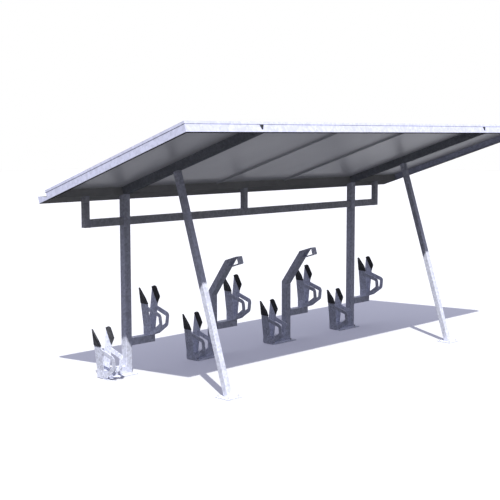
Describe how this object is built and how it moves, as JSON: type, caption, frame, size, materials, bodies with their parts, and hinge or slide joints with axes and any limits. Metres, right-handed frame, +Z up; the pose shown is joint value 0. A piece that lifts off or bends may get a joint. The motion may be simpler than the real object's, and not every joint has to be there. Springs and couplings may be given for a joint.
{
  "type": "bike shelter",
  "caption": "Open bike shelter: a sloping sheet roof on posts and raking struts, with high and low wheel holders and leaning lock posts.",
  "frame": {"origin": "centre of the overall box at ground level", "axes": "+X along the row of posts, +Y from the high open front to the low back, +Z up"},
  "size_m": [6.258, 2.393, 2.8947],
  "materials": {
    "zinc_tube": "galvanised",
    "zinc_plate": "galvanised",
    "roof_sheet": "satin",
    "edge_sheet": "satin",
    "rubber": "matt"
  },
  "bodies": {
    "root": {"arms_1": "zinc_tube", "arms_2": "zinc_tube", "arms_3": "zinc_tube", "arms_4": "zinc_tube", "deck_1": "roof_sheet", "deck_2": "roof_sheet", "deck_3": "roof_sheet", "deck_4": "roof_sheet", "deck_5": "roof_sheet", "edge_front_left": "edge_sheet", "edge_front_middle": "edge_sheet", "edge_front_right": "edge_sheet", "edge_side_left": "edge_sheet", "edge_side_right": "edge_sheet", "gutter": "edge_sheet", "gutter_ends": "edge_sheet", "hanger_left": "zinc_tube", "hanger_middle": "zinc_tube", "hanger_right": "zinc_tube", "lock_eye_left": "zinc_plate", "lock_eye_right": "zinc_plate", "lock_post_left": "zinc_tube", "lock_post_right": "zinc_tube", "main_post_left": "zinc_tube", "main_post_right": "zinc_tube", "post_foot_1": "zinc_plate", "post_foot_2": "zinc_plate", "post_foot_3": "zinc_plate", "post_foot_4": "zinc_plate", "rafter_left": "zinc_tube", "rafter_right": "zinc_tube", "rail_left": "zinc_tube", "rail_middle": "zinc_tube", "rail_right": "zinc_tube", "strut_feet": "zinc_plate", "strut_left": "zinc_tube", "strut_right": "zinc_tube", "wheel_guides_1": "rubber", "wheel_guides_2": "rubber", "wheel_guides_3": "rubber", "wheel_guides_4": "rubber", "wheel_holder_high_1": "zinc_plate", "wheel_holder_high_2": "zinc_plate", "wheel_holder_high_3": "zinc_plate", "wheel_holder_high_4": "zinc_plate", "wheel_holder_low_1": "zinc_plate", "wheel_holder_low_2": "zinc_plate", "wheel_holder_low_3": "zinc_plate", "wheel_holder_low_4": "zinc_plate"}
  },
  "joints": []
}
